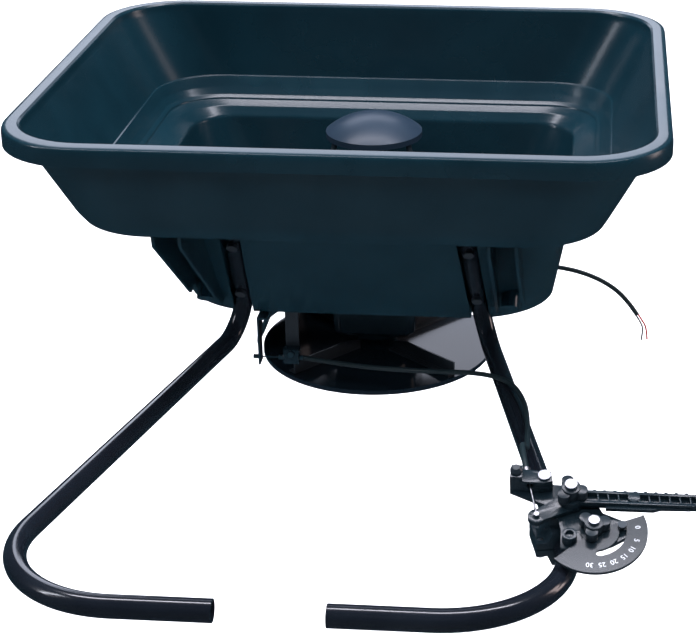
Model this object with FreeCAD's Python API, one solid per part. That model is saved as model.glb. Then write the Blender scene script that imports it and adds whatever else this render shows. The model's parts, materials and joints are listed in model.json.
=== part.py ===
"""Twelve-volt broadcast spreader: open hopper, feed gate, motor-driven spinner and two-tube frame.

Units are millimetres and +Z is up.  Every dimension is measured from the centre of the hopper
rim's top face, and save() then moves the whole machine so that its origin is halfway between
the two open frame tube ends, where the machine is coupled to whatever carries it.
+Y points from the coupling towards the hopper, and +X points to the side with the feed lever.
"""
import FreeCAD, Part
import os
from math import asin, cos, pi, radians, sin, tan

V = FreeCAD.Vector

# ---- driving dimensions ----------------------------------------------------------------
RIM_HALF_X, RIM_HALF_Y, RIM_CORNER = 305.0, 260.0, 84.0
RIM_SKIRT = 18.0                      # how far the rolled rim hangs down
MOUTH_HALF_X, MOUTH_HALF_Y, MOUTH_CORNER = 292.5, 245.5, 72.0
WALL = 4.0
LEDGE_Z = -81.0                       # foot of the tub's upper walls
WELL_TOP_Z, FLOOR_TOP_Z = -100.0, -250.0
FLOOR_Z = FLOOR_TOP_Z - WALL          # underside of the floor

SHAFT_Y, SHAFT_R = 105.0, 5.0
DOME_R, DOME_FOOT_Z, DOME_TOP_Z = 51.0, -97.0, -78.5
DISC_R, DISC_TOP_Z, DISC_T = 127.0, -343.0, 3.0
PORT_X, PORT_PITCH, PORT_W = 0.0, 34.0, 13.0
PORT_Y0, PORT_Y1 = 16.0, 50.0
GATE_TRAVEL = 15.2
GATE_Z, GATE_T = -258.8, 2.0

TUBE_R, TUBE_BORE_R = 9.5, 7.9
TUBE_TOP = (113.2, -116.4, -112.0)    # upper end of the right frame tube
TUBE_KNEE = (124.8, 9.2, -281.9)      # where its leg turns forward under the hopper
TUBE_CORNER = (246.2, -583.6, -255.4)  # where it turns inward to the coupling
TUBE_END_X = 44.0
KNEE_BEND_R, CORNER_BEND_R = 32.0, 100.0
BOLT_R, SCREW_R = 3.0, 2.2
BRACKET_SCREW = (-74.0, -6.0)
HANGER_ANGLES = (128, 152, 176)

LEVER_ORIGIN = V(225.0, -454.0, -224.0)
LEVER_TILT = 70.0                     # angle of the dial's normal above the horizontal
DIAL_X, DIAL_Y, DIAL_R = 19.1, -29.0, 43.0
CRANK_X, CRANK_Y = -27.0, -18.0       # hole for the inner wire
MOUTH_X, MOUTH_Y, WIRE_Z = -33.5, 12.0, 7.0
ARM_LENGTH = 140.0

CABLE_R, WIRE_R = 2.5, 0.8
CORD_R = 2.6
GLAND_Z = -280.0

COUPLING = V(0, TUBE_CORNER[1], TUBE_CORNER[2])
X, Y, Z = V(1, 0, 0), V(0, 1, 0), V(0, 0, 1)


# ---- helpers -----------------------------------------------------------------------------
def save(name, shape):
    """Write one node, measured from the coupling's origin."""
    moved = shape.copy()
    moved.translate(COUPLING * -1)
    moved.exportStep("parts/" + name + ".step")
    state = "ok" if moved.isValid() else "NOT VALID"
    print("%-22s solids %2d  volume %9.0f  %s" % (name, len(moved.Solids), moved.Volume, state))


def box(x0, x1, y0, y1, z0, z1):
    return Part.makeBox(x1 - x0, y1 - y0, z1 - z0, V(x0, y0, z0))


def rod(start, end, radius):
    along = V(end) - V(start)
    return Part.makeCylinder(radius, along.Length, V(start), along)


def ring(start, end, radius, bore):
    return rod(start, end, radius).cut(rod(start, end, bore))


def fuse(shapes):
    return shapes[0].multiFuse(shapes[1:]).removeSplitter() if len(shapes) > 1 else shapes[0]


def group(shapes):
    """Identical pieces that stay separate solids of one node."""
    return Part.Compound([s for s in shapes])


def prism(points, z0, z1):
    """Straight prism on a polygon of (x, y) points."""
    wire = Part.makePolygon([V(x, y, z0) for x, y in points] + [V(points[0][0], points[0][1], z0)])
    return Part.Face(wire).extrude(V(0, 0, z1 - z0))


def prism_x(points, x0, x1):
    """Straight prism along X on a polygon of (y, z) points."""
    wire = Part.makePolygon([V(x0, y, z) for y, z in points] + [V(x0, points[0][0], points[0][1])])
    return Part.Face(wire).extrude(V(x1 - x0, 0, 0))


def prism_y(points, y0, y1):
    """Straight prism along Y on a polygon of (x, z) points."""
    wire = Part.makePolygon([V(x, y0, z) for x, z in points] + [V(points[0][0], y0, points[0][1])])
    return Part.Face(wire).extrude(V(0, y1 - y0, 0))


def polar(cx, cy, radius, angle):
    return cx + radius * cos(radians(angle)), cy + radius * sin(radians(angle))


def sector(cx, cy, inner, outer, a0, a1, z0, z1):
    """Part of a flat ring between two angles, in degrees."""
    whole = Part.makeCylinder(outer, z1 - z0, V(cx, cy, z0), Z, a1 - a0)
    whole.rotate(V(cx, cy, 0), Z, a0)
    return whole.cut(Part.makeCylinder(inner, z1 - z0, V(cx, cy, z0))) if inner else whole


def hexagon(centre, axis, across, height):
    """Hexagonal prism standing on centre along axis."""
    r = across / 2 / cos(pi / 6)
    flat = prism([polar(0, 0, r, 60 * k) for k in range(6)], 0, height)
    flat.Placement = FreeCAD.Placement(V(centre), FreeCAD.Rotation(Z, V(axis)))
    return flat


def rounded_rect(z, half_x, y0, y1, corner):
    """Closed wire of a rectangle with round corners, always built in the same order."""
    c = corner
    s = c * (1 - cos(pi / 4))
    h = half_x
    lines = [((h, y0 + c), (h, y1 - c)), ((h - c, y1), (-h + c, y1)),
             ((-h, y1 - c), (-h, y0 + c)), ((-h + c, y0), (h - c, y0))]
    mids = [(h - s, y1 - s), (-h + s, y1 - s), (-h + s, y0 + s), (h - s, y0 + s)]
    edges = []
    for k in range(4):
        (ax, ay), (bx, by) = lines[k]
        nx, ny = lines[(k + 1) % 4][0]
        edges.append(Part.LineSegment(V(ax, ay, z), V(bx, by, z)).toShape())
        edges.append(Part.Arc(V(bx, by, z), V(mids[k][0], mids[k][1], z), V(nx, ny, z)).toShape())
    return Part.Wire(edges)


def loft(sections):
    return Part.makeLoft([rounded_rect(*s) for s in sections], True, True)


def bent_path(points, radii):
    """Straight runs joined by tangent arcs; one radius for each inner point."""
    pts = [V(p) for p in points]
    edges, here = [], pts[0]
    for k in range(1, len(pts) - 1):
        back, on = (pts[k - 1] - pts[k]).normalize(), (pts[k + 1] - pts[k]).normalize()
        half = (pi - back.getAngle(on)) / 2
        reach = radii[k - 1] * tan(half)
        a, b = pts[k] + back * reach, pts[k] + on * reach
        middle = (back + on).normalize()
        mid = pts[k] + middle * (radii[k - 1] / cos(half) - radii[k - 1])
        edges.append(Part.LineSegment(here, a).toShape())
        edges.append(Part.Arc(a, mid, b).toShape())
        here = b
    edges.append(Part.LineSegment(here, pts[-1]).toShape())
    return Part.Wire(edges)


def soft_radii(points):
    """Arc radii of a cord: 0.45 of the shorter run over the tangent of half the turn."""
    pts = [V(p) for p in points]
    radii = []
    for k in range(1, len(pts) - 1):
        back, on = pts[k - 1] - pts[k], pts[k + 1] - pts[k]
        half = (pi - back.getAngle(on)) / 2
        radii.append(0.45 * min(back.Length, on.Length) / tan(half))
    return radii


def tube(path, points, radius):
    start, towards = V(points[0]), V(points[1]) - V(points[0])
    profile = Part.Wire([Part.Circle(start, towards, radius).toShape()])
    return path.makePipeShell([profile], True, False)


def cord_tube(name, points, radius):
    """Plain tube along a cord's route, with its radii and volume printed."""
    radii = soft_radii(points)
    path = bent_path(points, radii)
    solid = tube(path, points, radius)
    print("%s radii %s" % (name, [round(r) for r in radii]))
    print("%s length %.1f, volume over section x length %.4f"
          % (name, path.Length, solid.Volume / (pi * radius ** 2 * path.Length)))
    return solid


def mirror_x(shape):
    return shape.mirror(V(0, 0, 0), X)


def local(shape):
    """Place a lever part, drawn flat with its pivot at the origin, on the tilted lever plane."""
    placed = shape.copy()
    turn = FreeCAD.Rotation(X, 90 - LEVER_TILT)
    placed.Placement = FreeCAD.Placement(LEVER_ORIGIN, turn).multiply(placed.Placement)
    return placed


def local_point(x, y, z):
    return FreeCAD.Placement(LEVER_ORIGIN, FreeCAD.Rotation(X, 90 - LEVER_TILT)).multVec(V(x, y, z))


# ---- hopper ------------------------------------------------------------------------------
def tube_line(side=1):
    a, b = V(TUBE_TOP), V(TUBE_KNEE)
    return V(side * a.x, a.y, a.z), V(side * b.x, b.y, b.z)


def channel(side, radius):
    """Space of a frame tube's seat in the front wall: a half-round groove, open to the front."""
    a, b = tube_line(side)
    along = (b - a).normalize()
    front = (V(0, -1, 0) - along * along.dot(V(0, -1, 0))).normalize()
    across = along.cross(front)
    start = a - along * (radius - TUBE_R + 2)
    one, other, back = start + across * radius, start - across * radius, start - front * radius
    edges = [Part.Arc(one, back, other).toShape(), Part.makeLine(other, other + front * 90),
             Part.makeLine(other + front * 90, one + front * 90), Part.makeLine(one + front * 90, one)]
    return Part.Face(Part.Wire(edges)).extrude(along * ((b - a).Length + 20))


def gusset(x, foot_y, foot_z):
    """Upright plate that props the front ledge beside a frame tube."""
    return prism_x([(-209, -97), (-206, -112), (foot_y, foot_z), (foot_y + 14, foot_z + 4),
                    (-15, -246), (-15, -120), (-120, -97)], x - 1.5, x + 1.5)


def hopper():
    tub_out = loft([(0, 296.5, -249.5, 249.5, 80), (-88, 251, -222, 240, 74),
                    (-100, 246, -213, 232, 74)])
    well_out = loft([(-96, 245, -139, 231, 72), (-108, 229, -137, 218, 50),
                     (-120, 213, -130, 212, 46), (FLOOR_Z, 195, -25, 201, 86)])
    rim = loft([(-RIM_SKIRT, RIM_HALF_X, -RIM_HALF_Y, RIM_HALF_Y, RIM_CORNER),
                (-6, RIM_HALF_X, -RIM_HALF_Y, RIM_HALF_Y, RIM_CORNER),
                (-1.8, RIM_HALF_X - 2, 2 - RIM_HALF_Y, RIM_HALF_Y - 2, RIM_CORNER - 2),
                (0, RIM_HALF_X - 7, 7 - RIM_HALF_Y, RIM_HALF_Y - 7, RIM_CORNER - 7)])
    groove = loft([(-RIM_SKIRT, 302, -257, 257, 81), (-4.5, 302, -257, 257, 81)])
    groove = groove.cut(tub_out)
    tub_in = loft([(0, MOUTH_HALF_X, -MOUTH_HALF_Y, MOUTH_HALF_Y, MOUTH_CORNER),
                   (LEDGE_Z, 250, -219, 238, 69), (-90, 241, -208, 229, 60),
                   (-95, 238, -129, 222, 50)])
    well_in = loft([(-95, 238, -129, 222, 50), (-104, 224, -128, 213, 47),
                    (-116, 208, -122, 207, 43), (FLOOR_TOP_Z, 191, -21, 197, 82)])
    seats_out = fuse([channel(1, TUBE_R + 0.4), channel(-1, TUBE_R + 0.4)])
    seats_in = fuse([channel(1, TUBE_R + 4.4), channel(-1, TUBE_R + 4.4)])
    plates = [gusset(s * x, y, z) for s in (1, -1) for x, y, z in ((142, -46, -240), (167, -71, -215))]
    bosses = [rod((s * 154.5, -60, -226), (s * 154.5, -30, -190), 9) for s in (1, -1)]
    body = fuse([tub_out, well_out, rim] + plates + bosses)
    room = bent_tube(TUBE_R + 0.4)
    body = body.cut(room).cut(mirror_x(room))
    body = body.cut(seats_out).cut(groove).cut(tub_in).cut(well_in.cut(seats_in))
    for k in (-1, 0, 1):
        x = PORT_X + k * PORT_PITCH
        body = body.cut(box(x - PORT_W / 2, x + PORT_W / 2, PORT_Y0, PORT_Y1, -270, -240))
    body = body.cut(rod((0, SHAFT_Y, -270), (0, SHAFT_Y, -240), 9))
    for x, y in motor_bolt_places():
        body = body.cut(rod((x, y, -270), (x, y, -240), BOLT_R))
    for start, end in frame_bolt_axes():
        body = body.cut(rod(start, end, BOLT_R))
    for x, y in hanger_screw_places() + [BRACKET_SCREW]:
        body = body.cut(rod((x, y, -270), (x, y, -240), SCREW_R))
    return body


def frame_bolt_axes():
    """Two bolts through each frame tube and the front wall, square to both."""
    axes = []
    for side in (1, -1):
        a, b = tube_line(side)
        along = (b - a).normalize()
        inward = (Y - along * along.dot(Y)).normalize()
        for share in (0.2, 0.62):
            centre = a + (b - a) * share
            axes.append((centre - inward * TUBE_R, centre + inward * 20))
    return axes


def motor_bolt_places():
    return [(sx * 36, SHAFT_Y + sy * 34) for sx in (1, -1) for sy in (1, -1)]


# ---- frame -------------------------------------------------------------------------------
def bent_tube(radius):
    end = (TUBE_END_X, TUBE_CORNER[1], TUBE_CORNER[2])
    points = [TUBE_TOP, TUBE_KNEE, TUBE_CORNER, end]
    return tube(bent_path(points, [KNEE_BEND_R, CORNER_BEND_R]), points, radius)


def frame_tube():
    body = bent_tube(TUBE_R).cut(bent_tube(TUBE_BORE_R))
    for start, far in frame_bolt_axes()[:2]:
        body = body.cut(rod(start - (far - start), far, BOLT_R))
    return body


def tube_cap():
    a, b = tube_line(1)
    along = (b - a).normalize()
    plug = Part.makeCylinder(TUBE_BORE_R, 10, a, along)
    return plug.fuse(Part.makeCylinder(TUBE_R, 1.6, a - along * 1.6, along))


def frame_bolts():
    bolts = []
    for start, end in frame_bolt_axes():
        out = (start - end).normalize()
        head = hexagon(start, out, 10, 4)
        bolts.append(fuse([rod(start, end, BOLT_R), head]))
    return group(bolts)


def frame_nuts():
    nuts = []
    for start, end in frame_bolt_axes():
        inward = (end - start).normalize()
        seat = start + inward * (2 * TUBE_R + 4.4)
        nut = hexagon(seat, inward, 10, 5).cut(rod(start, end + inward * 5, BOLT_R))
        nuts.append(nut)
    return group(nuts)


# ---- feed gate ---------------------------------------------------------------------------
def gate():
    plate = box(-108, 62, 8, 58, GATE_Z, GATE_Z + GATE_T)
    arm = box(-108, -98, -36, 8, GATE_Z, GATE_Z + GATE_T)
    tab = box(-108, -106, -36, -20, -310, GATE_Z)
    web = prism_x([(-20, GATE_Z), (-20, -285), (-10, GATE_Z)], -108, -106)
    body = fuse([plate, arm, tab, web])
    for k in (-1, 0, 1):
        x = PORT_X + k * PORT_PITCH - GATE_TRAVEL
        body = body.cut(box(x - PORT_W / 2, x + PORT_W / 2, PORT_Y0, PORT_Y1, -270, -250))
    return body.cut(rod((-112, -28, -304), (-100, -28, -304), 1.2))


def gate_rails():
    back = fuse([box(-80, 95, 58.5, 61.5, -261, FLOOR_Z), box(-80, 95, 54.5, 58.5, -261, -259.3)])
    front = fuse([box(-80, 95, 4.5, 7.5, -261, FLOOR_Z), box(-80, 95, 7.5, 11.5, -261, -259.3)])
    return group([back, front])


def gate_wire():
    stem = rod((-112, -28, -304), (-80, -28, -304), WIRE_R)
    return fuse([stem, rod((-114.5, -28, -304), (-108, -28, -304), 2.4)])


# ---- agitator, motor and spinner ---------------------------------------------------------
def crown_arc(foot_r, foot_z, top_z):
    """Arc of a ball centred on the Z axis, from a foot circle up to its top."""
    height = top_z - foot_z
    ball = (foot_r ** 2 + height ** 2) / (2 * height)
    half = asin(foot_r / ball) / 2
    middle = V(ball * sin(half), 0, top_z - ball + ball * cos(half))
    return Part.Arc(V(foot_r, 0, foot_z), middle, V(0, 0, top_z)).toShape()


def baffle_dome():
    """Cap that keeps the load's weight off the agitator."""
    wall = 3
    top, under = V(0, 0, DOME_TOP_Z), V(0, 0, DOME_TOP_Z - wall)
    outer_foot, inner_foot = V(DOME_R, 0, DOME_FOOT_Z), V(DOME_R - wall, 0, DOME_FOOT_Z)
    drop = V(0, 0, -6)
    edges = [crown_arc(DOME_R, DOME_FOOT_Z, DOME_TOP_Z), Part.makeLine(top, under),
             crown_arc(DOME_R - wall, DOME_FOOT_Z, DOME_TOP_Z - wall),
             Part.makeLine(inner_foot, inner_foot + drop),
             Part.makeLine(inner_foot + drop, outer_foot + drop),
             Part.makeLine(outer_foot + drop, outer_foot)]
    edges = Part.__sortEdges__(edges)
    dome = Part.Face(Part.Wire(edges)).revolve(V(0, 0, 0), Z, 360)
    dome.translate(V(0, SHAFT_Y, 0))
    return dome


def stand_leg(angle):
    top = polar(0, SHAFT_Y, 44, angle)
    foot = polar(0, SHAFT_Y, 80, angle)
    upper, lower = V(top[0], top[1], DOME_FOOT_Z - 5), V(foot[0], foot[1], FLOOR_TOP_Z + 4)
    return fuse([rod(upper, lower, 3), Part.makeSphere(3, lower),
                 rod((foot[0], foot[1], FLOOR_TOP_Z), (foot[0], foot[1], FLOOR_TOP_Z + 3), 9)])


def baffle_stand():
    hoop = Part.makeTorus(45, 3.0, V(0, SHAFT_Y, DOME_FOOT_Z - 5))
    return fuse([hoop] + [stand_leg(a) for a in (90, 210, 330)])


def agitator():
    hub = ring((0, SHAFT_Y, -246), (0, SHAFT_Y, -230), 10, SHAFT_R)
    arms = []
    for s in (1, -1):
        arms.append(rod((0, SHAFT_Y, -238), (s * 62, SHAFT_Y, -238), 3.2))
        arms.append(rod((s * 62, SHAFT_Y, -238), (s * 55, SHAFT_Y, -196), 3.2))
        arms.append(Part.makeSphere(3.2, V(s * 62, SHAFT_Y, -238)))
    return fuse([hub] + arms).cut(rod((0, SHAFT_Y, -250), (0, SHAFT_Y, -225), SHAFT_R))


def spinner_shaft():
    shaft = fuse([rod((0, SHAFT_Y, -352), (0, SHAFT_Y, -226), SHAFT_R),
                  rod((0, SHAFT_Y, -226), (0, SHAFT_Y, -222), 8)])
    return shaft.cut(hub_pin())


def armature():
    core = ring((0, SHAFT_Y, -304), (0, SHAFT_Y, -274), 22, SHAFT_R)
    for k in range(8):
        px, py = polar(0, SHAFT_Y, 22, 45 * k)
        core = core.cut(rod((px, py, -304), (px, py, -274), 3))
    commutator = ring((0, SHAFT_Y, -311), (0, SHAFT_Y, -304), 11, SHAFT_R)
    return fuse([core, commutator])


def motor_magnets():
    lower = [sector(0, SHAFT_Y, 24, 30, a, a + 120, -306, -272) for a in (-60, 120)]
    return group(lower)


def motor_can():
    outer = rod((0, SHAFT_Y, -315), (0, SHAFT_Y, -268), 32.5)
    inner = rod((0, SHAFT_Y, -313), (0, SHAFT_Y, -268), 30)
    return outer.cut(inner).cut(rod((0, SHAFT_Y, -316), (0, SHAFT_Y, -312), 8))


def bush(z0, z1):
    return ring((0, SHAFT_Y, z0), (0, SHAFT_Y, z1), 8, SHAFT_R + 0.05)


def motor_plate():
    plate = loft([(-268, 48, SHAFT_Y - 46, SHAFT_Y + 46, 12), (-265, 48, SHAFT_Y - 46, SHAFT_Y + 46, 12)])
    plate = plate.cut(rod((0, SHAFT_Y, -270), (0, SHAFT_Y, -264), 8))
    for x, y in motor_bolt_places():
        plate = plate.cut(rod((x, y, -270), (x, y, -264), BOLT_R))
    return plate


def motor_spacers():
    return group([ring((x, y, -265), (x, y, FLOOR_Z), 5.5, BOLT_R) for x, y in motor_bolt_places()])


def motor_bolts():
    bolts = []
    for x, y in motor_bolt_places():
        head = hexagon((x, y, FLOOR_TOP_Z), Z, 10, 3)
        bolts.append(fuse([rod((x, y, -271), (x, y, FLOOR_TOP_Z), BOLT_R), head]))
    return group(bolts)


def motor_nuts():
    return group([hexagon((x, y, -272.5), Z, 10, 4.5).cut(rod((x, y, -275), (x, y, -260), BOLT_R))
                  for x, y in motor_bolt_places()])


def motor_cover():
    """Rounded box under the mounting plate that keeps spray off the motor."""
    def square(z, half, corner):
        return z, half, SHAFT_Y + 2 - half, SHAFT_Y - 2 + half, corner
    outer = loft([square(-268, 47, 13), square(-316, 44, 12), square(-320, 40, 10)])
    inner = loft([square(-268, 44.5, 11), square(-315, 41.5, 10)])
    skirt = ring((0, SHAFT_Y, -325), (0, SHAFT_Y, -319), 38, 30)
    body = outer.cut(inner).fuse(skirt)
    body = body.cut(rod((0, SHAFT_Y, -330), (0, SHAFT_Y, -312), 9))
    return body.cut(rod((30, 125, GLAND_Z), (60, 125, GLAND_Z), 5.0))


def cord_gland():
    flange = rod((47, 125, GLAND_Z), (54, 125, GLAND_Z), 7)
    neck = rod((43, 125, GLAND_Z), (47, 125, GLAND_Z), 5)
    sleeve = Part.makeCone(6, 4.2, 12, V(54, 125, GLAND_Z), X)
    body = fuse([flange, neck, sleeve])
    return body.cut(power_cord()).cut(rod((40, 125, GLAND_Z), (50, 125, GLAND_Z), CORD_R))


def spinner_disc():
    plate = rod((0, SHAFT_Y, DISC_TOP_Z - DISC_T), (0, SHAFT_Y, DISC_TOP_Z), DISC_R)
    lip = ring((0, SHAFT_Y, DISC_TOP_Z - 5), (0, SHAFT_Y, DISC_TOP_Z - DISC_T), DISC_R, DISC_R - 2)
    hub = fuse([rod((0, SHAFT_Y, DISC_TOP_Z), (0, SHAFT_Y, -329), 14),
                Part.makeCone(24, 14, 6, V(0, SHAFT_Y, DISC_TOP_Z), Z)])
    body = fuse([plate, lip, hub]).cut(rod((0, SHAFT_Y, -350), (0, SHAFT_Y, -320), SHAFT_R))
    return body.cut(rod((-20, SHAFT_Y, -334), (20, SHAFT_Y, -334), 1.6))


def spinner_fins():
    fins = []
    for k in range(4):
        fin = fuse([box(27, 121, -1, 1, DISC_TOP_Z, DISC_TOP_Z + 14),
                    box(27, 121, -9, 1, DISC_TOP_Z, DISC_TOP_Z + 1.6)])
        fin = fin.cut(prism_y([(27, DISC_TOP_Z + 14), (27, DISC_TOP_Z + 9), (45, DISC_TOP_Z + 14)], -2, 2))
        fin.rotate(V(0, 0, 0), Z, -41 + 90 * k)
        fin.translate(V(0, SHAFT_Y, 0))
        fins.append(fin)
    return group(fins)


def hub_pin():
    return rod((-17, SHAFT_Y, -334), (17, SHAFT_Y, -334), 1.6)


def deflector():
    """Flared band behind the spinner that keeps the throw off the carrier."""
    def cone(offset):
        rings = [(-336, 134.0), (-318, 126.0), (-300, 119.0), (-277, 114.0)]
        points = [V(r + offset, 0, z) for z, r in rings]
        axis_top, axis_foot = V(0, 0, -277), V(0, 0, -336)
        wire = Part.makePolygon([axis_foot] + points + [axis_top, axis_foot])
        solid = Part.Face(wire).revolve(V(0, 0, 0), Z, 360)
        solid.translate(V(0, SHAFT_Y, 0))
        return solid
    band = cone(0).cut(cone(-1.6))
    front = prism([(-200, SHAFT_Y - 35), (200, SHAFT_Y - 35), (200, -200), (-200, -200)], -360, -250)
    side = prism_y([(22, -250), (22, -290), (104, -340), (200, -345), (200, -250)], SHAFT_Y - 40, 300)
    return band.cut(front).cut(side)


def hanger_screw_places():
    return [polar(0, SHAFT_Y, 105, angle) for angle in HANGER_ANGLES]


def deflector_hangers():
    hangers = []
    for angle in HANGER_ANGLES:
        strap = box(110.8, 112.3, -8, 8, -292, -256)
        foot = box(97, 112.3, -8, 8, -256, FLOOR_Z)
        hanger = fuse([strap, foot]).cut(rod((105, 0, -260), (105, 0, -250), SCREW_R))
        hanger.rotate(V(0, 0, 0), Z, angle)
        hanger.translate(V(0, SHAFT_Y, 0))
        hangers.append(hanger.cut(deflector()))
    return group(hangers)


def floor_screw(x, y):
    """Screw driven up into the hopper's floor, with its head below."""
    return fuse([rod((x, y, -256), (x, y, -251), SCREW_R), rod((x, y, -258.5), (x, y, -256), 4.5)])


def deflector_screws():
    screws = []
    for x, y in hanger_screw_places():
        screws.append(floor_screw(x, y))
    return group(screws)


# ---- cable bracket and control cable -----------------------------------------------------
def cable_bracket():
    flange = box(-81, -67, -22, 2, -256, FLOOR_Z)
    strip = box(-81, -67, -22, -20, -310, -256)
    body = fuse([flange, strip]).cut(rod((-74, -6, -260), (-74, -6, -250), SCREW_R))
    return body.cut(rod((-74, -30, -297.5), (-74, -10, -297.5), 1.6))


def bracket_screws():
    hang = floor_screw(*BRACKET_SCREW)
    clamp = fuse([rod((-74, -34, -297.5), (-74, -19, -297.5), 1.6),
                  rod((-74, -36.5, -297.5), (-74, -34, -297.5), 3.2)])
    return group([hang, clamp])


def gate_cable_clamp():
    body = box(-82, -66, -34, -22, -309, -293)
    body = body.cut(rod((-90, -28, -304), (-60, -28, -304), CABLE_R))
    return body.cut(rod((-74, -40, -297.5), (-74, -20, -297.5), 1.6))


def cable_route():
    """Inner points of the control cable between its two straight ends."""
    mouth = V(MOUTH_X, MOUTH_Y, 0)
    along = (mouth - V(CRANK_X, CRANK_Y, 0)).normalize()
    seat = mouth + along * 18
    lead = mouth + along * 50
    return [(-62, -28, -304), (-12, -33, -309), (41, -45, -306), (84, -67, -296), (122, -104, -278),
            (146, -140, -264), (164, -166, -259), (176, -200, -259), (181, -245, -254), (183, -295, -246),
            (185, -345, -235), tuple(local_point(lead.x, lead.y, WIRE_Z)),
            tuple(local_point(seat.x, seat.y, WIRE_Z))]


def control_cable():
    return cord_tube("control_cable", cable_route(), CABLE_R)


def gate_ferrule():
    return ring((-88, -28, -304), (-62.4, -28, -304), CABLE_R, 1.2)


# ---- feed lever --------------------------------------------------------------------------
def wire_frame():
    """Inner wire's pin, the mouth of the cable's block and the direction between them."""
    pin = V(CRANK_X, CRANK_Y, WIRE_Z)
    mouth = V(MOUTH_X, MOUTH_Y, WIRE_Z)
    return pin, mouth, (mouth - pin).normalize()


def lever_base():
    plate = prism([(-14, 20), (-46, 26), (-50, 12), (-20, -2), (-11, -10), (-7, -28), (-7, -45),
                   (8, -50), (34, -40), (48, -30), (48, -18), (26, -8), (12, 19)], -4, 0)
    boss = rod((0, 0, -12), (0, 0, 0.6), 9)
    hub = rod((DIAL_X, DIAL_Y, -6), (DIAL_X, DIAL_Y, 0.6), 9)
    body = local(fuse([plate, boss, hub]))
    saddle = saddle_block(1)
    body = body.fuse(saddle)
    body = body.cut(local(rod((0, 0, -20), (0, 0, 5), BOLT_R)))
    body = body.cut(local(rod((DIAL_X, DIAL_Y, -20), (DIAL_X, DIAL_Y, 5), BOLT_R)))
    px, py = polar(DIAL_X, DIAL_Y, 23, 12)
    body = body.cut(local(rod((px, py, -6), (px, py, 5), 1.5)))
    return body.cut(leg_cylinder(TUBE_R)).removeSplitter()


def leg_axis():
    a, b = V(TUBE_KNEE), V(TUBE_CORNER)
    along = (b - a).normalize()
    middle = a + along * ((LEVER_ORIGIN.y + 10 - a.y) / along.y)
    return middle, along


def leg_square():
    """Level direction across the leg, and the upward one square to both."""
    along = leg_axis()[1]
    across = along.cross(Z).normalize()
    up = across.cross(along).normalize()
    return across, up if up.z > 0 else up * -1


def leg_cylinder(radius, half=60):
    middle, along = leg_axis()
    return Part.makeCylinder(radius, 2 * half, middle - along * half, along)


def saddle_block(side):
    """Half of the tube clamp: above the leg for side 1, below it for side -1."""
    middle, along = leg_axis()
    across, up = leg_square()
    start = middle - along * 19
    w = TUBE_R + 5
    ears = w + 9
    near = up * (0.5 * side)
    far = up * (w * side)
    body_pts = [start + across * ears + near, start - across * ears + near,
                start - across * ears + up * (6 * side), start - across * w + up * (6 * side),
                start - across * (w - 4) + far, start + across * (w - 4) + far,
                start + across * w + up * (6 * side), start + across * ears + up * (6 * side)]
    block = Part.Face(Part.makePolygon(body_pts + [body_pts[0]])).extrude(along * 38)
    if side > 0:
        neck = Part.makeCylinder(11, 26, middle + up * (TUBE_R + 1), up)
        block = block.fuse(neck.common(local(box(-40, 60, -60, 40, -60, -3))))
    for place in clamp_bolt_axes():
        block = block.cut(rod(place[0], place[1], 2.5))
    return block.cut(leg_cylinder(TUBE_R))


def clamp_bolt_axes():
    middle, along = leg_axis()
    across, up = leg_square()
    places = []
    for s in (1, -1):
        for t in (11, -11):
            foot = middle + across * (s * (TUBE_R + 9.5)) + along * t
            places.append((foot - up * 12, foot + up * 12))
    return places


def lever_clamp_screws():
    screws = []
    for low, high in clamp_bolt_axes():
        up = (high - low).normalize()
        head = Part.makeCylinder(4, 3, low + up * 6 - up * 3, up)
        screws.append(fuse([rod(low + up * 6, low + up * 17.9, 2.5), head]))
    return group(screws)


def cable_block():
    pin, mouth, along = wire_frame()
    body = prism([(-50, 12), (-49, 25), (-17, 23), (-15, 13), (-24, 10.5)], 0.2, 12.5)
    body = body.fuse(prism([(-50, 12), (-49, 25), (-40, 25), (-40, 12)], 0.2, 17))
    hollow = rod(mouth - along * 6, mouth + along * 12, 3.2)
    body = body.cut(hollow).cut(rod(mouth + along * 11, mouth + along * 30, 3.6))
    return local(body.cut(rod((-22, 18, 0), (-22, 18, 20), 2)))


def block_screw():
    shank = rod((-22, 18, 0.2), (-22, 18, 12.5), 2)
    return local(fuse([shank, rod((-22, 18, 12.5), (-22, 18, 14.5), 5.2)]))


def block_stud():
    """Round-headed stud that closes the cable block."""
    foot = rod((-45, 18.5, 17), (-45, 18.5, 19), 5)
    return local(fuse([foot, Part.makeCone(5, 3, 3, V(-45, 18.5, 19), Z)]))


def cable_ferrule():
    pin, mouth, along = wire_frame()
    return local(ring(mouth + along * 12, mouth + along * 18, 3.6, 1.9))


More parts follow.
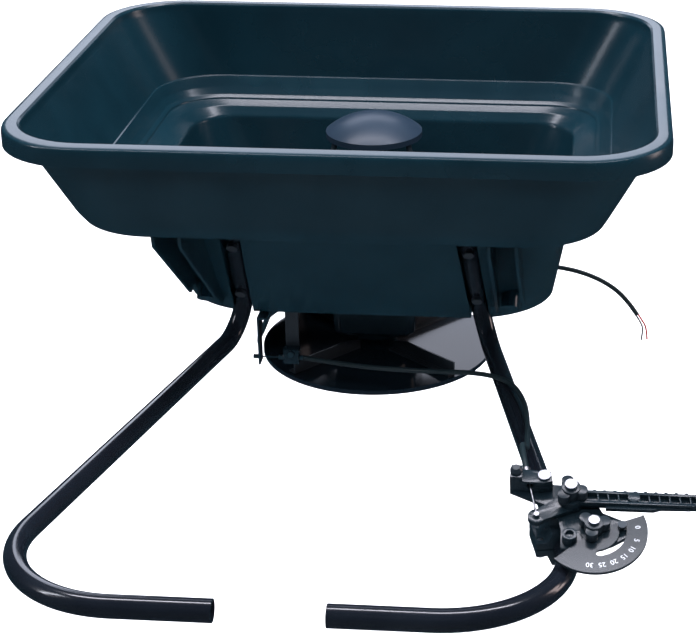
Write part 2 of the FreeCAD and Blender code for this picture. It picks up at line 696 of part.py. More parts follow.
def lever_arm():
    hub = rod((0, 0, 1), (0, 0, 11.5), 10.5)
    crank = prism([(-27.5, -25), (4, -9), (-2, 9), (-27, -11)], 1, 5.4)
    eye = rod((CRANK_X, CRANK_Y, 1), (CRANK_X, CRANK_Y, 5.4), 7)
    spine = prism([(0, -6.5), (28, -6.5), (28, -9.5), (66, -9.5), (72, -7.5), (104, -6.5),
                   (104, 5.2), (0, 6.2)], 4.6, 6.4)
    top = prism([(0, 3.8), (104, 3.2), (104, 5.6), (0, 6.4)], 4.6, 11)
    foot = prism([(6, -6.8), (28, -6.8), (104, -6.4), (104, -4.2), (6, -4.4)], 4.6, 11)
    flange = prism([(28, -9.8), (66, -9.8), (72, -7.6), (96, -7.0), (96, -6.2), (28, -6.4)], 4.6, 8)
    pieces = [hub, crank, eye, spine, top, foot, flange]
    pitch = 8.2
    for k in range(10):
        x = 22 + pitch * k
        if k != 3:
            slant = [(x, -4.6), (x + 1.3, -4.6), (x - 0.2, 4), (x - 1.5, 4)]
            pieces.append(prism(slant, 6.0, 10.5))
        pieces.append(box(x - 4.5, x - 1.9, 5.0, 7.4, 5.3, 10.4))
    pieces.append(rod((50.5, 0.5, 5), (50.5, 0.5, 11.3), 4.8))
    grip = prism([(ARM_LENGTH - 40, -6.4), (ARM_LENGTH - 16, -7.2), (ARM_LENGTH - 6, -5.6),
                  (ARM_LENGTH - 1, -1), (ARM_LENGTH - 1, 2), (ARM_LENGTH - 6, 5.6),
                  (ARM_LENGTH - 18, 6.8), (ARM_LENGTH - 40, 5.6)], 4.6, 11.5)
    pieces.append(grip)
    body = fuse(pieces).cut(rod((0, 0, 0), (0, 0, 13), BOLT_R + 0.06))
    return local(body.cut(rod((CRANK_X, CRANK_Y, 0), (CRANK_X, CRANK_Y, 7), 1.55)))


def lever_wire():
    pin, mouth, along = wire_frame()
    post = rod((CRANK_X, CRANK_Y, -7), (CRANK_X, CRANK_Y, WIRE_Z), 1.0)
    collar = rod((CRANK_X, CRANK_Y, WIRE_Z - 1.2), (CRANK_X, CRANK_Y, WIRE_Z + 1.2), 2.2)
    stem = rod(pin, mouth + along * 14.5, WIRE_R)
    return local(fuse([post, collar, stem]))


def lever_bolt():
    return local(fuse([rod((0, 0, -12), (0, 0, 24), BOLT_R), rod((0, 0, 22.4), (0, 0, 25.4), 5.0)]))


def knob(cx, cy, z0, height, phase):
    """Three-lobed hand knob."""
    pieces = [rod((cx, cy, z0), (cx, cy, z0 + height), 7.6)]
    for k in range(3):
        x, y = polar(cx, cy, 8.6, phase + 120 * k)
        pieces.append(rod((x, y, z0), (x, y, z0 + height - 1.5), 5.0))
    return fuse(pieces).cut(rod((cx, cy, z0 - 1), (cx, cy, z0 + height + 1), BOLT_R + 0.06))


def lever_knob():
    return local(knob(0, 0, 12.0, 10.0, 110))


def dial():
    """Setting quadrant with a curved slot, swung about its own bolt."""
    plate = sector(DIAL_X, DIAL_Y, 0, DIAL_R, -135, 24, 1.0, 3.4)
    collar = rod((DIAL_X, DIAL_Y, 1.0), (DIAL_X, DIAL_Y, 3.4), 11)
    lip = sector(DIAL_X, DIAL_Y, DIAL_R - 1.2, DIAL_R, -135, 24, 3.4, 4.0)
    body = fuse([plate, collar, lip])
    slot = sector(DIAL_X, DIAL_Y, 20.2, 26.2, -77, 14, 0, 6)
    for angle in (-77, 14):
        x, y = polar(DIAL_X, DIAL_Y, 23.2, angle)
        slot = slot.fuse(rod((x, y, 0), (x, y, 6), 3.0))
    body = body.cut(slot).cut(rod((DIAL_X, DIAL_Y, 0), (DIAL_X, DIAL_Y, 6), BOLT_R + 0.06))
    return local(body)


def dial_stop():
    x, y = polar(DIAL_X, DIAL_Y, 23, 12)
    return local(fuse([rod((x, y, -4), (x, y, 5.4), 1.5), rod((x, y, 4.4), (x, y, 6.6), 3.6)]))


def dial_bolt():
    return local(fuse([rod((DIAL_X, DIAL_Y, -9), (DIAL_X, DIAL_Y, 15), BOLT_R),
                       rod((DIAL_X, DIAL_Y, 14.2), (DIAL_X, DIAL_Y, 16.8), 4.4),
                       rod((DIAL_X, DIAL_Y, -10), (DIAL_X, DIAL_Y, -6), 5.5)]))


def dial_knob():
    return local(knob(DIAL_X, DIAL_Y, 4.6, 9.4, 20))


def guide_post():
    """Moulded post with a round recess beside the dial."""
    return local(rod((0, -38, 0), (0, -38, 9), 6).cut(rod((0, -38, 6), (0, -38, 9), 3.4)))


# ---- power cord --------------------------------------------------------------------------
CORD_ROUTE = [(50, 125, GLAND_Z), (80, 127, -276), (112, 134, -269), (146, 144, -265.5), (184, 153, -266),
              (222, 155, -273), (253, 154, -286), (275, 152, -304), (287, 151, -322)]


def power_cord():
    return cord_tube("power_cord", CORD_ROUTE, CORD_R)


def core_wire(side):
    a, b = V(CORD_ROUTE[-2]), V(CORD_ROUTE[-1])
    along = (b - a).normalize()
    spread = along.cross(Y).normalize() * (1.3 * side)
    start = b + spread + along * 0.1
    ahead = start + along * 9
    knee = ahead + along * 8 + V(side * 0.7, 0, -2)
    points = [tuple(start), tuple(ahead), tuple(knee), tuple(knee + V(side * 1.5 - 0.5, 0, -14))]
    return tube(bent_path(points, soft_radii(points)), points, 1.0)


# ---- write every node --------------------------------------------------------------------
def main():
    os.makedirs("parts", exist_ok=True)
    right_tube = frame_tube()
    right_cap = tube_cap()
    save("hopper", hopper())
    save("frame_tube_right", right_tube)
    save("frame_tube_left", mirror_x(right_tube))
    save("tube_caps", group([right_cap, mirror_x(right_cap)]))
    save("frame_bolts", frame_bolts())
    save("frame_nuts", frame_nuts())
    save("gate", gate())
    save("gate_rails", gate_rails())
    save("gate_wire", gate_wire())
    save("baffle_dome", baffle_dome())
    save("baffle_stand", baffle_stand())
    save("agitator", agitator())
    save("spinner_shaft", spinner_shaft())
    save("floor_bush", ring((0, SHAFT_Y, FLOOR_Z), (0, SHAFT_Y, FLOOR_TOP_Z + 2), 9, SHAFT_R + 0.05))
    save("armature", armature())
    save("motor_magnets", motor_magnets())
    save("motor_can", motor_can())
    save("upper_bush", bush(-268, -262))
    save("lower_bush", bush(-319, -312))
    save("motor_plate", motor_plate())
    save("motor_spacers", motor_spacers())
    save("motor_bolts", motor_bolts())
    save("motor_nuts", motor_nuts())
    save("motor_cover", motor_cover())
    save("cord_gland", cord_gland())
    save("spinner_disc", spinner_disc())
    save("spinner_fins", spinner_fins())
    save("hub_pin", hub_pin())
    save("deflector", deflector())
    save("deflector_hangers", deflector_hangers())
    save("deflector_screws", deflector_screws())
    save("cable_bracket", cable_bracket())
    save("bracket_screws", bracket_screws())
    save("gate_cable_clamp", gate_cable_clamp())
    save("gate_ferrule", gate_ferrule())
    save("control_cable", control_cable())
    save("lever_base", lever_base())
    save("lever_clamp_cap", saddle_block(-1))
    save("lever_clamp_screws", lever_clamp_screws())
    save("cable_block", cable_block())
    save("block_screw", block_screw())
    save("block_stud", block_stud())
    save("cable_ferrule", cable_ferrule())
    save("lever_arm", lever_arm())
    save("lever_wire", lever_wire())
    save("lever_bolt", lever_bolt())
    save("lever_knob", lever_knob())
    save("dial", dial())
    save("dial_stop", dial_stop())
    save("dial_bolt", dial_bolt())
    save("dial_knob", dial_knob())
    save("guide_post", guide_post())
    save("power_cord", power_cord())
    save("red_wire", core_wire(1))
    save("black_wire", core_wire(-1))


main()
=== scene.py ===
"""Looks of the twelve-volt broadcast spreader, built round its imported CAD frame. Metres, +Z up."""
import json
import math

import bmesh
import bpy
from mathutils import Matrix, Vector


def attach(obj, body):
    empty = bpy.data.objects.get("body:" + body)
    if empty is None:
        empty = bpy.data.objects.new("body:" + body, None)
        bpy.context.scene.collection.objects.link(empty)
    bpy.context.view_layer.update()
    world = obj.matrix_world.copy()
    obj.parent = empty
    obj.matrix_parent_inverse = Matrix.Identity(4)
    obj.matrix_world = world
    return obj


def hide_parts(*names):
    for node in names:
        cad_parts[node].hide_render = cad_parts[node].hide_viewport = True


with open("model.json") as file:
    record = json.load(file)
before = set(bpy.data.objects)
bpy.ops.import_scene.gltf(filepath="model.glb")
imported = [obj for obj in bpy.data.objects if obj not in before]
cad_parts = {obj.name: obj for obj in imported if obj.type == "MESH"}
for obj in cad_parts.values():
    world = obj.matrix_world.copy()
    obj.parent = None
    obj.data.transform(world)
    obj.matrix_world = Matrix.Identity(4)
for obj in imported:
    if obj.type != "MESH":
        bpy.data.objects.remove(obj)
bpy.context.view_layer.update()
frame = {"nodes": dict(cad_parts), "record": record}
NODES = frame["nodes"]
SCENE = bpy.context.scene

MM = 0.001
RIM_CENTRE = Vector((0.0, 583.6, 255.4))      # rim's centre in the part's frame, millimetres


def pt(x, y, z):
    """A point measured from the rim's centre in millimetres, in the part's frame in metres."""
    return (Vector((x, y, z)) + RIM_CENTRE) * MM


# ---- camera and cords ---------------------------------------------------------------------
IMAGE_W = 696
YAW, PITCH, FOCAL_PX = 0.07824, 0.42028, 1872.84


def make_camera():
    data = bpy.data.cameras.new("camera")
    data.sensor_width = 36.0
    data.lens = FOCAL_PX * 36.0 / IMAGE_W
    data.shift_x = -0.1604
    data.shift_y = 0.0034
    data.clip_start, data.clip_end = 0.05, 50.0
    camera = bpy.data.objects.new("camera", data)
    camera.location = (0.2387, -1.1942, 0.7853)
    camera.rotation_euler = (math.pi / 2 - PITCH, 0.0, YAW)
    SCENE.collection.objects.link(camera)
    SCENE.camera = camera


make_camera()

LEVER_ORIGIN = Vector((225.0, -454.0, -224.0))
LEVER_TURN = Matrix.Rotation(math.radians(20), 3, "X")


def lever_pt(x, y, z):
    """A point of the tilted lever plane, measured from the lever's pivot, in metres."""
    return pt(*(LEVER_ORIGIN + LEVER_TURN @ Vector((x, y, z))))


def nurbs(name, points, radius):
    curve = bpy.data.curves.new(name, "CURVE")
    curve.dimensions = "3D"
    curve.bevel_depth = radius
    curve.bevel_resolution = 6
    curve.resolution_u = 16
    curve.use_fill_caps = True
    spline = curve.splines.new("NURBS")
    spline.points.add(len(points) - 1)
    for knot, point in zip(spline.points, points):
        knot.co = (*point, 1.0)
    spline.order_u = 3
    spline.use_endpoint_u = True
    piece = bpy.data.objects.new(name, curve)
    SCENE.collection.objects.link(piece)
    return piece


CABLE_R, CORD_R, CORE_R = 2.5 * MM, 2.6 * MM, 1.0 * MM
INNER_WIRE_PIN = Vector((-27.0, -18.0, 7.0))
CABLE_MOUTH = Vector((-33.5, 12.0, 7.0))
WIRE_ALONG = (CABLE_MOUTH - INNER_WIRE_PIN).normalized()
CABLE_LEAD, CABLE_SEAT = CABLE_MOUTH + WIRE_ALONG * 50, CABLE_MOUTH + WIRE_ALONG * 18
CABLE_ROUTE = [(-62, -28, -304), (-12, -33, -309), (41, -45, -306), (84, -67, -296), (122, -104, -278),
               (146, -140, -264), (164, -166, -259), (176, -200, -259), (181, -245, -254),
               (183, -295, -246), (185, -345, -235)]
CORD_ROUTE = [(50, 125, -280), (80, 127, -276), (112, 134, -269), (146, 144, -265.5), (184, 153, -266),
              (222, 155, -273), (253, 154, -286), (275, 152, -304), (287, 151, -322)]
CORE_OFFSET, CORE_LEAD, CORE_KNEE, CORE_DROP = 1.3, 9.0, 8.0, 14.0


def core_points(side):
    """Route of one bare-ended core beyond the jacket."""
    before, end = Vector(CORD_ROUTE[-2]), Vector(CORD_ROUTE[-1])
    along = (end - before).normalized()
    start = end + along.cross(Vector((0, 1, 0))).normalized() * (CORE_OFFSET * side) + along * 0.1
    ahead = start + along * CORE_LEAD
    knee = ahead + along * CORE_KNEE + Vector((side * 0.7, 0, -2))
    tip = knee + Vector((side * 1.5 - 0.5, 0, -CORE_DROP))
    return [pt(*p) for p in (start, ahead, knee, tip)]


cable_points = [pt(*p) for p in CABLE_ROUTE] + [lever_pt(*CABLE_LEAD), lever_pt(*CABLE_SEAT)]
cord_points = [pt(*p) for p in CORD_ROUTE]
control_cable = nurbs("control_cable_sheath", cable_points, CABLE_R)
power_cord = nurbs("power_cord_jacket", cord_points, CORD_R)
red_wire = nurbs("red_core", core_points(1), CORE_R)
grey_wire = nurbs("grey_core", core_points(-1), CORE_R)


# ---- materials ----------------------------------------------------------------------------
def material(name, base, dark, rough, metallic=0.0, grain=600.0, bump=0.02, bump_distance=0.0002,
             rough_spread=0.08, coat=0.0, specular=0.5, stretch=(1, 1, 1)):
    """Procedural surface: mottled colour, uneven gloss and a fine relief, in object metres."""
    mat = bpy.data.materials.new(name)
    mat.use_nodes = True
    tree = mat.node_tree
    nodes, link = tree.nodes, tree.links.new
    shader = nodes["Principled BSDF"]
    shader.inputs["Metallic"].default_value = metallic
    shader.inputs["Specular IOR Level"].default_value = specular
    shader.inputs["Coat Weight"].default_value = coat
    shader.inputs["Coat Roughness"].default_value = 0.12
    place = nodes.new("ShaderNodeTexCoord")
    scale = nodes.new("ShaderNodeMapping")
    scale.inputs["Scale"].default_value = stretch
    link(place.outputs["Object"], scale.inputs["Vector"])
    broad = nodes.new("ShaderNodeTexNoise")
    broad.inputs["Scale"].default_value = 14.0
    broad.inputs["Detail"].default_value = 5.0
    fine = nodes.new("ShaderNodeTexNoise")
    fine.inputs["Scale"].default_value = grain
    fine.inputs["Detail"].default_value = 3.0
    for noise in (broad, fine):
        link(scale.outputs["Vector"], noise.inputs["Vector"])
    ramp = nodes.new("ShaderNodeValToRGB")
    ramp.color_ramp.elements[0].position, ramp.color_ramp.elements[1].position = 0.35, 0.68
    ramp.color_ramp.elements[0].color = (*dark, 1.0)
    ramp.color_ramp.elements[1].color = (*base, 1.0)
    link(broad.outputs["Fac"], ramp.inputs["Fac"])
    link(ramp.outputs["Color"], shader.inputs["Base Color"])
    gloss = nodes.new("ShaderNodeMapRange")
    gloss.inputs["To Min"].default_value = rough - rough_spread
    gloss.inputs["To Max"].default_value = rough + rough_spread
    link(broad.outputs["Fac"], gloss.inputs["Value"])
    link(gloss.outputs["Result"], shader.inputs["Roughness"])
    relief = nodes.new("ShaderNodeBump")
    relief.inputs["Strength"].default_value = bump
    relief.inputs["Distance"].default_value = bump_distance
    link(fine.outputs["Fac"], relief.inputs["Height"])
    link(relief.outputs["Normal"], shader.inputs["Normal"])
    return mat


LOOKS = {
    "hopper_plastic": material("hopper_skin", (0.0035, 0.017, 0.026), (0.0028, 0.013, 0.020), 0.25,
                               bump=0.10, grain=420.0, specular=0.5, rough_spread=0.05),
    "black_plastic": material("black_plastic_skin", (0.005, 0.012, 0.018), (0.004, 0.009, 0.013), 0.13,
                              bump=0.04, specular=0.7, rough_spread=0.04),
    "disc_plastic": material("disc_skin", (0.005, 0.010, 0.016), (0.004, 0.008, 0.012), 0.12, bump=0.03,
                             specular=0.3, rough_spread=0.03),
    # painted reflection: the dome is the same black plastic as the hopper, but its base is made lighter and
    # bluer to stand in for the studio's reflection on it
    "dome_plastic": material("dome_skin_painted_reflection", (0.014, 0.024, 0.040), (0.010, 0.018, 0.030), 0.34, bump=0.08,
                             specular=0.4),
    "frame_paint": material("frame_skin", (0.006, 0.008, 0.012), (0.004, 0.005, 0.008), 0.20, bump=0.05,
                            grain=260.0, coat=0.6, rough_spread=0.04),
    "zinc_steel": material("zinc_skin", (0.62, 0.63, 0.65), (0.46, 0.47, 0.50), 0.34, metallic=1.0,
                           bump=0.06),
    "dark_steel": material("dark_steel_skin", (0.03, 0.04, 0.05), (0.018, 0.025, 0.033), 0.36, metallic=0.4,
                           bump=0.08),
    "shaft_steel": material("shaft_skin", (0.52, 0.52, 0.54), (0.38, 0.38, 0.40), 0.30, metallic=1.0,
                            stretch=(1, 1, 6)),
    "bronze": material("bronze_skin", (0.50, 0.33, 0.15), (0.36, 0.22, 0.10), 0.42, metallic=1.0, bump=0.2),
    "copper": material("winding_skin", (0.48, 0.20, 0.09), (0.32, 0.12, 0.05), 0.36, metallic=1.0, bump=0.3),
    "magnet": material("magnet_skin", (0.07, 0.07, 0.075), (0.04, 0.04, 0.045), 0.55, metallic=0.3,
                       bump=0.2),
    "cable_black": material("cable_skin", (0.010, 0.018, 0.022), (0.006, 0.012, 0.015), 0.40, bump=0.08),
    "wire_red": material("red_wire_skin", (0.42, 0.018, 0.018), (0.30, 0.012, 0.012), 0.36, bump=0.05),
    "wire_grey": material("grey_wire_skin", (0.10, 0.09, 0.10), (0.06, 0.055, 0.06), 0.40, bump=0.05),
    "lever_plastic": material("lever_skin", (0.009, 0.017, 0.024), (0.006, 0.012, 0.017), 0.27, bump=0.12,
                              grain=900.0, specular=0.6),
    "dial_plastic": material("dial_skin", (0.009, 0.015, 0.021), (0.006, 0.011, 0.015), 0.22, bump=0.05,
                             grain=900.0, specular=0.6, rough_spread=0.05),
    "dial_ink": material("dial_print", (0.62, 0.64, 0.68), (0.48, 0.50, 0.55), 0.5),
    "knob_plastic": material("knob_skin", (0.014, 0.021, 0.028), (0.009, 0.014, 0.019), 0.30, bump=0.15,
                             grain=900.0, specular=0.6),
}
OWN_LOOK = {"spinner_disc": "disc_plastic", "dial": "dial_plastic", "dial_stop": "dark_steel"}
SLOT_OF = {row["node"]: row["material_slot"] for row in frame["record"]["subparts"]}


def dress(piece, slot):
    piece.data.materials.clear()
    piece.data.materials.append(LOOKS[slot])


def keep_node(node):
    """A CAD node keeps its mesh and gets a procedural look."""
    piece = NODES[node]
    piece.data.materials.clear()
    piece.data.materials.append(LOOKS[OWN_LOOK.get(node, SLOT_OF[node])])


for node in NODES:
    keep_node(node)

for piece, node in ((control_cable, "control_cable"), (power_cord, "power_cord"),
                    (red_wire, "red_wire"), (grey_wire, "black_wire")):
    dress(piece, SLOT_OF[node])
    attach(piece, "frame")
    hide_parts(node)


# ---- hopper -------------------------------------------------------------------------------
CORNER_STEPS, LONG_STEPS, SHORT_STEPS = 12, 28, 22


def contour(z, half_x, y0, y1, corner):
    """Points round a rectangle with round corners, starting on the right side."""
    points = []
    h, c = half_x, corner
    sides = [((h, y0 + c), (h, y1 - c), (h - c, y1 - c), 0, SHORT_STEPS),
             ((h - c, y1), (-h + c, y1), (-h + c, y1 - c), 90, LONG_STEPS),
             ((-h, y1 - c), (-h, y0 + c), (-h + c, y0 + c), 180, SHORT_STEPS),
             ((-h + c, y0), (h - c, y0), (h - c, y0 + c), 270, LONG_STEPS)]
    for (ax, ay), (bx, by), (cx, cy), turn, steps in sides:
        for k in range(steps):
            t = k / steps
            points.append((ax + (bx - ax) * t, ay + (by - ay) * t, z))
        for k in range(CORNER_STEPS):
            a = math.radians(turn + 90 * k / CORNER_STEPS)
            points.append((cx + c * math.cos(a), cy + c * math.sin(a), z))
    return points


def eased(stations):
    """Sections along a profile, with each corner replaced by a short curve of its own reach."""
    made = [stations[0][0]]
    for k in range(1, len(stations) - 1):
        here, reach = stations[k]
        before, after = stations[k - 1][0], stations[k + 1][0]
        ends = []
        for other in (before, after):
            span = math.dist(here, other)
            share = min(reach / span, 0.48)
            ends.append([p + (q - p) * share for p, q in zip(here, other)])
        for step in range(6):
            t = step / 5
            made.append([(1 - t) ** 2 * a + 2 * t * (1 - t) * h + t ** 2 * b
                         for a, h, b in zip(ends[0], here, ends[1])])
    made.append(stations[-1][0])
    return made


def skin(sections, cap_start=True, cap_end=True):
    mesh = bmesh.new()
    loops = [[mesh.verts.new(pt(*p)) for p in contour(*s)] for s in sections]
    count = len(loops[0])
    for low, high in zip(loops, loops[1:]):
        for k in range(count):
            mesh.faces.new((low[k], low[(k + 1) % count], high[(k + 1) % count], high[k]))
    if cap_start:
        mesh.faces.new(list(reversed(loops[0])))
    if cap_end:
        mesh.faces.new(loops[-1])
    bmesh.ops.recalc_face_normals(mesh, faces=mesh.faces)
    return mesh


def to_object(name, mesh):
    data = bpy.data.meshes.new(name)
    mesh.to_mesh(data)
    mesh.free()
    piece = bpy.data.objects.new(name, data)
    SCENE.collection.objects.link(piece)
    return piece


# Each station is a height, half width, front, back and corner radius, then how far the edge is eased.
OUTSIDE = [
    ((-254, 195, -25, 201, 86), 0),            # foot of the well
    ((-251, 195.4, -27, 201.2, 85), 3),
    ((-121, 213, -129, 212, 46), 6),           # top of the well
    ((-108, 229, -137, 218, 50), 6),
    ((-100.4, 245.5, -212, 231, 73), 4),       # foot of the tub
    ((-88, 251, -222, 240, 74), 5),
    ((-5.0, 293.9, -247.9, 249.0, 79.6), 1.5),  # wall meets the rim's underside
    ((-4.6, 302, -257, 257, 81), 1.5),
    ((-18, 302.4, -257.4, 257.4, 81.4), 1),    # lip of the rim's skirt
    ((-18, 305, -260, 260, 84), 1),
    ((-6, 305, -260, 260, 84), 3.5),
    ((-1.1, 304, -259, 259, 83), 2.2),
    ((-0.2, 300, -255, 255, 79), 1.5),
    ((0, 296, -251, 251, 75), 0),              # rim's top
]
INSIDE = [
    ((6, 294, -247, 249, 74), 0),
    ((0, 291.4, -244.4, 246.4, 72), 0.6),      # mouth
    ((-2.2, 289, -242, 244, 70), 1.4),
    ((-8, 287.5, -241.5, 243.5, 69), 3),
    ((-80.6, 251.6, -220.4, 239.6, 70), 0.6),  # crease above the ledge
    ((-81.2, 250, -219, 238, 69), 0.8),
    ((-92, 244, -195, 231, 62), 2),
    ((-99, 239, -170, 225.5, 59), 1.0),        # upper band of the ledge
    ((-101.7, 235, -152, 221.5, 55.5), 0.8),
    ((-103.4, 234.4, -150, 220.9, 55), 0.8),   # lower band of the ledge
    ((-108.6, 224.5, -132, 213, 50), 1.5),
    ((-118, 210, -122, 205.5, 44), 4),         # top of the well
    ((-247, 191.4, -23, 197.2, 81.5), 3),
    ((-250, 190, -20, 196, 82), 0),            # floor
]
TUBE_TOP, TUBE_KNEE = Vector((113.2, -116.4, -112.0)), Vector((124.8, 9.2, -281.9))
TUBE_R, WALL, TUBE_GAP = 9.5, 4.0, 0.4
SEAT_REACH = 90.0                              # how far a seat's groove runs out to the front
SHAFT_Y, SHAFT_HOLE_R = 105.0, 9.0
FLOOR_CUT = (-270.0, -240.0)                   # heights between which the floor's holes are cut
PORT_PITCH, PORT_HALF_W, PORT_Y0, PORT_Y1 = 34.0, 6.5, 16.0, 50.0
BOSS_X, BOSS_R = 154.5, 9.0
GUSSETS = [(142, -46, -240), (167, -71, -215)]  # x, and the y and z of the lower end
GUSSET_T = 3.0


def solid_between(name, near, far):
    """Closed solid between two rings of points, in millimetres from the rim's centre."""
    mesh = bmesh.new()
    top = [mesh.verts.new(pt(*p)) for p in near]
    end = [mesh.verts.new(pt(*p)) for p in far]
    mesh.faces.new(top)
    mesh.faces.new(list(reversed(end)))
    for k in range(len(near)):
        n = (k + 1) % len(near)
        mesh.faces.new((top[n], top[k], end[k], end[n]))
    bmesh.ops.recalc_face_normals(mesh, faces=mesh.faces)
    return to_object(name, mesh)


def tube_axis(side):
    """Ends and direction of a frame tube's straight stretch in the hopper's front wall."""
    a, b = TUBE_TOP.copy(), TUBE_KNEE.copy()
    a.x, b.x = side * a.x, side * b.x
    return a, b, (b - a).normalized()


def seat(side, radius):
    """Half-round groove for a frame tube, open to the front."""
    a, b, along = tube_axis(side)
    front = (Vector((0, -1, 0)) - along * along.dot(Vector((0, -1, 0)))).normalized()
    across = along.cross(front)
    start = a - along * (radius - TUBE_R + 2)
    ring = [start + front * SEAT_REACH + across * radius]
    for k in range(25):
        turn = math.radians(180 * k / 24)
        ring.append(start + across * (radius * math.cos(turn)) - front * (radius * math.sin(turn)))
    ring.append(start + front * SEAT_REACH - across * radius)
    reach = along * ((b - a).length + 20)
    return solid_between("seat", ring, [p + reach for p in ring])


def rod(start, end, radius, steps=28):
    start, end = Vector(start), Vector(end)
    along = (end - start).normalized()
    side = along.orthogonal().normalized()
    other = along.cross(side)
    ring = [start + (side * math.cos(t) + other * math.sin(t)) * radius
            for t in (2 * math.pi * k / steps for k in range(steps))]
    return solid_between("rod", ring, [p + (end - start) for p in ring])


def block(x0, x1, y0, y1, z0, z1):
    ring = [Vector(p) for p in ((x0, y0, z0), (x1, y0, z0), (x1, y1, z0), (x0, y1, z0))]
    return solid_between("block", ring, [p + Vector((0, 0, z1 - z0)) for p in ring])


def gusset(x, foot_y, foot_z):
    """Upright plate between the ledge's underside and the front of the well."""
    outline = [(-209, -98), (-206, -112), (foot_y, foot_z), (foot_y + 14, foot_z + 4), (-15, -246),
               (-15, -120), (-120, -98)]
    ring = [Vector((x - GUSSET_T / 2, y, z)) for y, z in outline]
    return solid_between("gusset", ring, [p + Vector((GUSSET_T, 0, 0)) for p in ring])


def carve(piece, cutter, operation="DIFFERENCE"):
    """Boolean of piece with cutter, applied at once; the cutter is removed."""
    step = piece.modifiers.new("carve", "BOOLEAN")
    step.object = cutter
    step.operation = operation
    step.solver = "EXACT"
    dg = bpy.context.evaluated_depsgraph_get()
    data = bpy.data.meshes.new_from_object(piece.evaluated_get(dg))
    piece.modifiers.clear()
    piece.data = data
    bpy.data.objects.remove(cutter)


def smooth(piece, angle):
    for face in piece.data.polygons:
        face.use_smooth = True
    piece.data.set_sharp_from_angle(angle=math.radians(angle))


def build_hopper():
    """Moulded tub: rolled rim, upper walls, ledge, well with the tubes' seats, gussets and bosses."""
    shell = to_object("hopper_shell", skin(eased(OUTSIDE)))
    for side in (1, -1):
        for x, y, z in GUSSETS:
            carve(shell, gusset(side * x, y, z), "UNION")
        carve(shell, rod((side * BOSS_X, -60, -226), (side * BOSS_X, -30, -190), BOSS_R), "UNION")
    for side in (1, -1):
        carve(shell, seat(side, TUBE_R + TUBE_GAP))
    room = to_object("room", skin(eased(INSIDE)))
    for side in (1, -1):
        carve(room, seat(side, TUBE_R + TUBE_GAP + WALL))
    carve(shell, room)
    for k in (-1, 0, 1):
        x = k * PORT_PITCH
        carve(shell, block(x - PORT_HALF_W, x + PORT_HALF_W, PORT_Y0, PORT_Y1, *FLOOR_CUT))
    carve(shell, rod((0, SHAFT_Y, FLOOR_CUT[0]), (0, SHAFT_Y, FLOOR_CUT[1]), SHAFT_HOLE_R))
    return shell


hopper = build_hopper()
dress(hopper, "hopper_plastic")
smooth(hopper, 38)
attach(hopper, "frame")
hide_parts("hopper")

for node in NODES:
    if not NODES[node].hide_render:
        smooth(NODES[node], 32)

SOFT_EDGED = ["lever_arm", "lever_base", "lever_knob", "cable_block", "dial_knob", "guide_post",
              "motor_cover", "gate_cable_clamp", "lever_clamp_cap"]
WELD_REACH, EDGE_BREAK = 0.01 * MM, 0.4 * MM
for node in SOFT_EDGED:
    weld = NODES[node].modifiers.new("weld", "WELD")
    weld.merge_threshold = WELD_REACH
    bevel = NODES[node].modifiers.new("bevel", "BEVEL")
    bevel.width = EDGE_BREAK
    bevel.segments = 2
    bevel.limit_method = "ANGLE"
    bevel.angle_limit = math.radians(40)
    bevel.harden_normals = True


# ---- dial scale ---------------------------------------------------------------------------
DIAL_TOP = Vector((19.1, -29.0, 3.44))         # the dial's centre, at the height of its face
FIGURE_RADIUS, FIGURE_SIZE, FIGURE_RELIEF = 35.0, 6.2, 0.06
FIGURE_ANGLES = {"0": 8, "5": -14, "10": -30, "15": -46, "20": -62, "25": -78, "30": -94}


def dial_mark(text, angle):
    """Raised figure on the setting dial, with its top towards the dial's edge."""
    curve = bpy.data.curves.new("figure", "FONT")
    curve.body = text
    curve.size = FIGURE_SIZE
    curve.extrude = FIGURE_RELIEF
    curve.align_x, curve.align_y = "CENTER", "CENTER"
    draft = bpy.data.objects.new("figure", curve)
    SCENE.collection.objects.link(draft)
    dg = bpy.context.evaluated_depsgraph_get()
    data = bpy.data.meshes.new_from_object(draft.evaluated_get(dg))
    bpy.data.objects.remove(draft)
    turn = Matrix.Rotation(math.radians(angle - 90), 3, "Z")
    around = Matrix.Rotation(math.radians(angle), 3, "Z")
    place = DIAL_TOP + around @ Vector((FIGURE_RADIUS, 0, 0))
    for vertex in data.vertices:
        vertex.co = lever_pt(*(place + turn @ vertex.co))
    return data


def build_dial_scale():
    mesh = bmesh.new()
    for text, angle in FIGURE_ANGLES.items():
        data = dial_mark(text, angle)
        mesh.from_mesh(data)
        bpy.data.meshes.remove(data)
    return to_object("dial_figures", mesh)


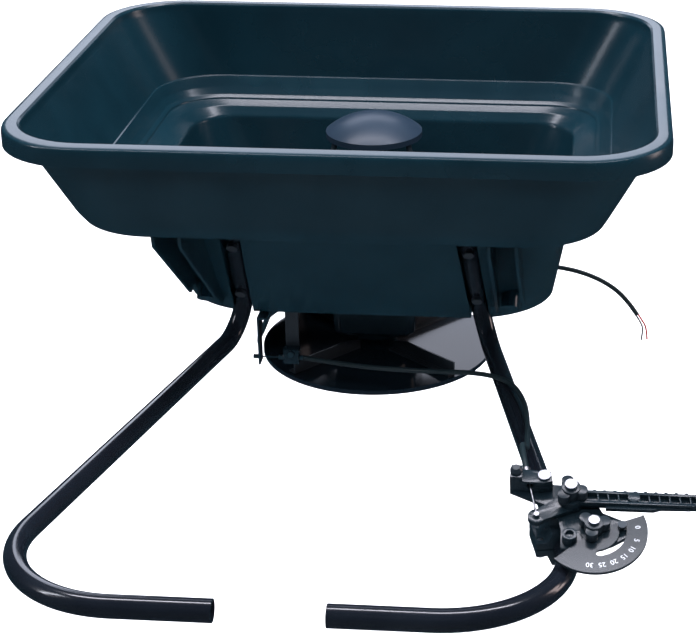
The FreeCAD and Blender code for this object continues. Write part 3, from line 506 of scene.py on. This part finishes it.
figures = build_dial_scale()
figures.data.materials.append(LOOKS["dial_ink"])
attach(figures, "dial")


# ---- studio -------------------------------------------------------------------------------
def make_floor():
    mesh = bmesh.new()
    bmesh.ops.create_grid(mesh, x_segments=8, y_segments=8, size=9.0)
    floor = to_object("floor", mesh)
    floor.location = (0, 2.0, -0.55)
    look = material("floor_paper", (0.95, 0.95, 0.955), (0.93, 0.93, 0.94), 0.8, bump=0.02, grain=60.0)
    floor.data.materials.append(look)
    floor.visible_glossy = False


def area_light(name, place, target, size, power, colour, mirrored=True):
    """A soft lamp; one that isn't mirrored lights the object but doesn't show in its gloss."""
    data = bpy.data.lights.new(name, "AREA")
    data.shape = "RECTANGLE"
    data.size, data.size_y = size
    data.energy = power
    data.color = colour
    lamp = bpy.data.objects.new(name, data)
    lamp.visible_glossy = mirrored
    lamp.location = place
    lamp.rotation_euler = (Vector(target) - Vector(place)).to_track_quat("-Z", "Y").to_euler()
    SCENE.collection.objects.link(lamp)


make_floor()
centre = pt(0, 0, -100)
area_light("overhead", (0.0, 1.6, 2.9), (0.0, 1.6, -0.5), (5.0, 4.0), 420, (0.97, 0.97, 1.0),
           mirrored=False)
area_light("front_wash", (0.3, -2.2, 2.6), (0.0, 0.4, -0.5), (3.0, 1.0), 90, (0.97, 0.97, 1.0),
           mirrored=False)
area_light("back_window", (-0.55, 3.9, 1.85), centre, (2.6, 2.3), 48, (0.80, 0.84, 1.0))
area_light("top_strip", (0.0, 0.75, 2.8), centre, (3.4, 0.3), 60, (0.92, 0.90, 1.0))
area_light("left_strip", (-2.2, -0.4, 1.5), centre, (0.16, 1.4), 14, (0.88, 0.90, 1.0))
area_light("warm_right", (2.2, 0.9, 0.5), centre, (0.5, 1.2), 8, (1.0, 0.80, 0.78))
world = bpy.data.worlds.new("studio")
world.use_nodes = True
world.node_tree.nodes["Background"].inputs["Color"].default_value = (0.30, 0.70, 1.0, 1.0)
world.node_tree.nodes["Background"].inputs["Strength"].default_value = 0.05
SCENE.world = world
SCENE.view_settings.view_transform = "Standard"
